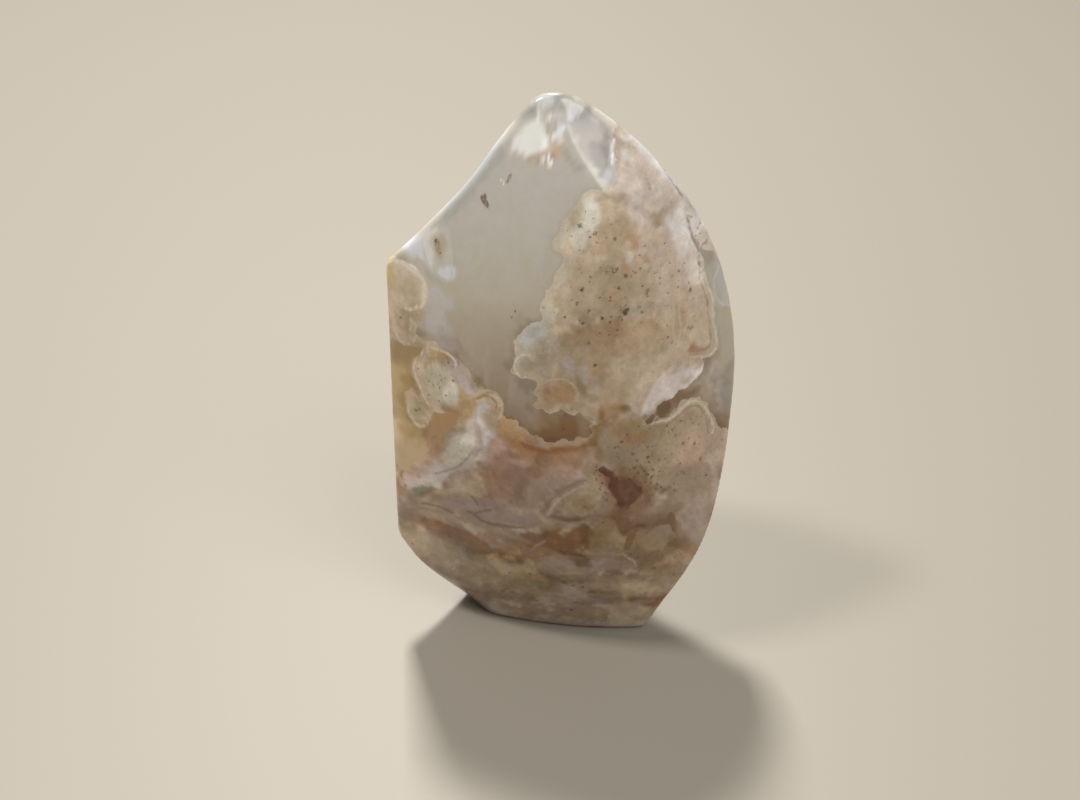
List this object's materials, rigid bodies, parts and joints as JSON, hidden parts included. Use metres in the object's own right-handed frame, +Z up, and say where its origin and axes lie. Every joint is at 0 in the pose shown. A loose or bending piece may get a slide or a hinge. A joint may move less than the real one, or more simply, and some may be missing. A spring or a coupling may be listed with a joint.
{
  "type": "sakura agate carving",
  "caption": "Polished freeform flame of flower agate in one piece, with a broad bowed front, leaning walls, a ridged back and a flat cut base to stand on.",
  "frame": {"origin": "on the flat cut base, under the middle of the stone's box", "axes": "+Z up from the base to the tip, -Y towards the broad patterned front, +X to the right of the front"},
  "size_m": [0.049, 0.031, 0.081],
  "materials": {
    "polished_agate": "polished"
  },
  "bodies": {
    "root": {"agate_flame": "polished_agate"}
  },
  "joints": []
}
